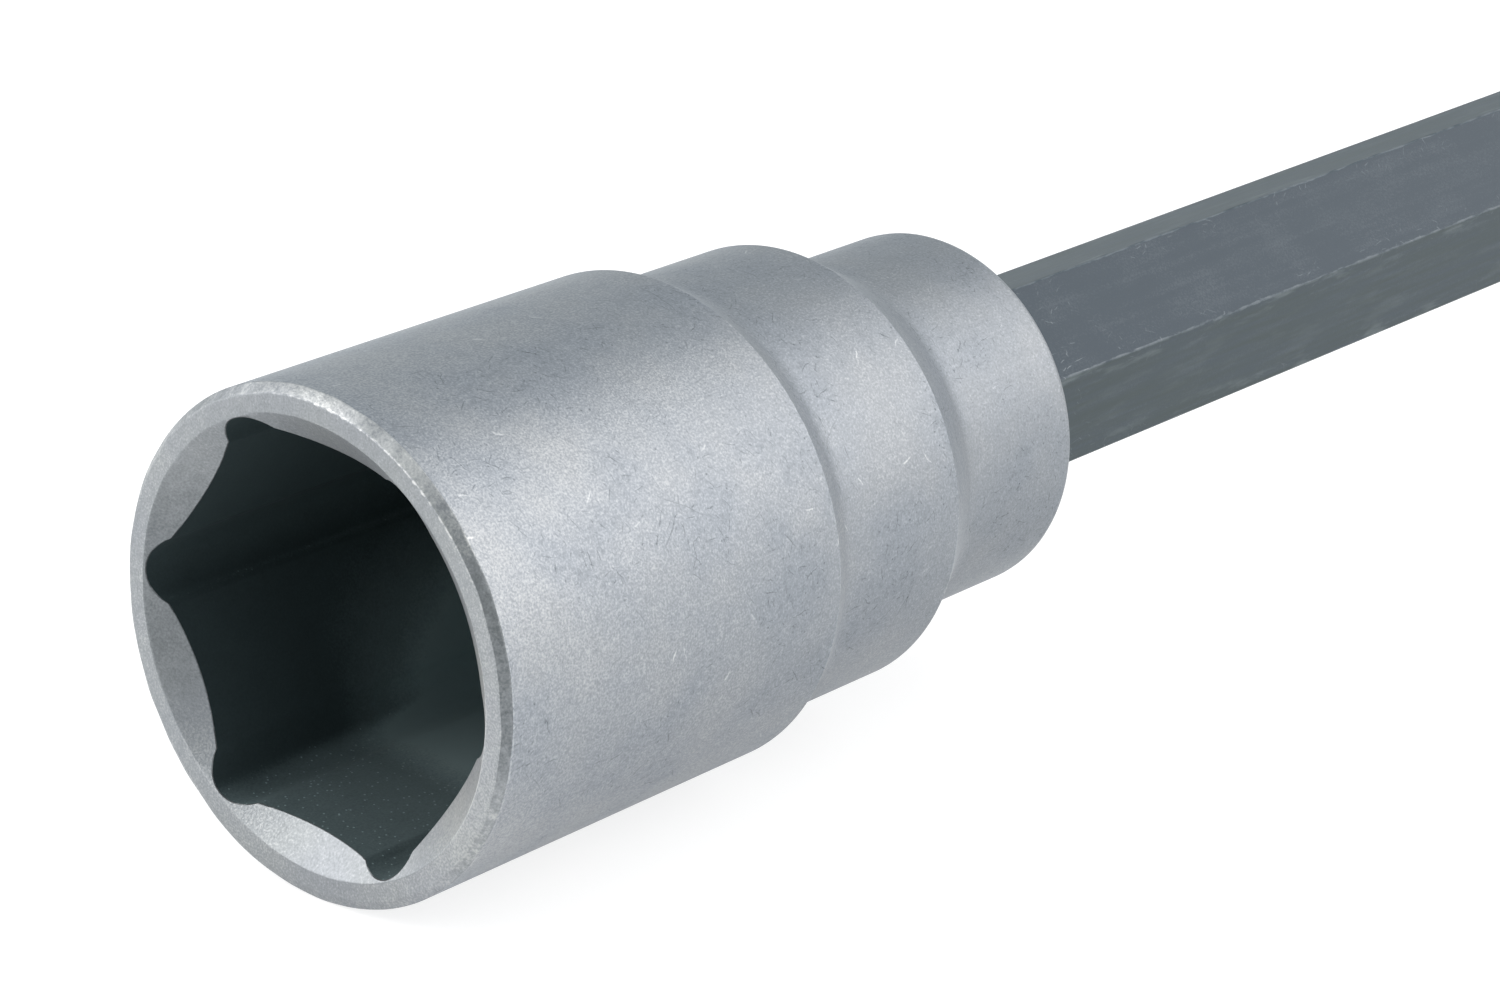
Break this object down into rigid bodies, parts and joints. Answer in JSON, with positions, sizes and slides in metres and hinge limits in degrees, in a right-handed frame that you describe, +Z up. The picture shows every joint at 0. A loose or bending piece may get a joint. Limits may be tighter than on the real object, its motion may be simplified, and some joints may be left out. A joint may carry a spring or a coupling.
{
  "type": "wheel brace",
  "caption": "Wheel brace for heavy vehicles: a stepped satin steel wheel nut socket on a dark hexagon shaft, turned by a tommy bar that slides in a squared cross head.",
  "frame": {"origin": "On the ground under the middle of the tool as it lies on its side", "axes": "+X along the shaft from the socket's mouth to the cross head, +Y along the tommy bar, +Z up"},
  "size_m": [0.3982, 0.5006, 0.0434],
  "materials": {
    "satin_steel": "matt, fine-grained satin plating over alloy steel",
    "burnished_steel": "drawn bar, burnished dark and oiled, worn along its edges",
    "spring_steel": "rolled and blued spring steel",
    "hardened_steel": "bright hardened steel"
  },
  "bodies": {
    "brace": {"wheel_nut_socket": "satin_steel", "hex_shaft": "burnished_steel", "cross_head": "satin_steel", "head_pin": "spring_steel", "detent_sleeve": "spring_steel", "detent_spring": "hardened_steel"},
    "bar": {"tommy_bar": "burnished_steel", "end_knob_left": "satin_steel", "end_knob_right": "satin_steel", "knob_pin_left": "spring_steel", "knob_pin_right": "spring_steel"},
    "ball": {"detent_ball": "hardened_steel"}
  },
  "joints": [
    {"name": "bar_slide", "type": "slide", "parent": "brace", "child": "bar", "axis": [0, 1, 0], "range_m": [-0.2038, 0.2038]},
    {"name": "ball_travel", "type": "slide", "parent": "brace", "child": "ball", "axis": [0, 0, 1], "range_m": [0, 0.0008], "stiffness_N_per_m": 2500, "deforming": ["detent_spring"]}
  ]
}
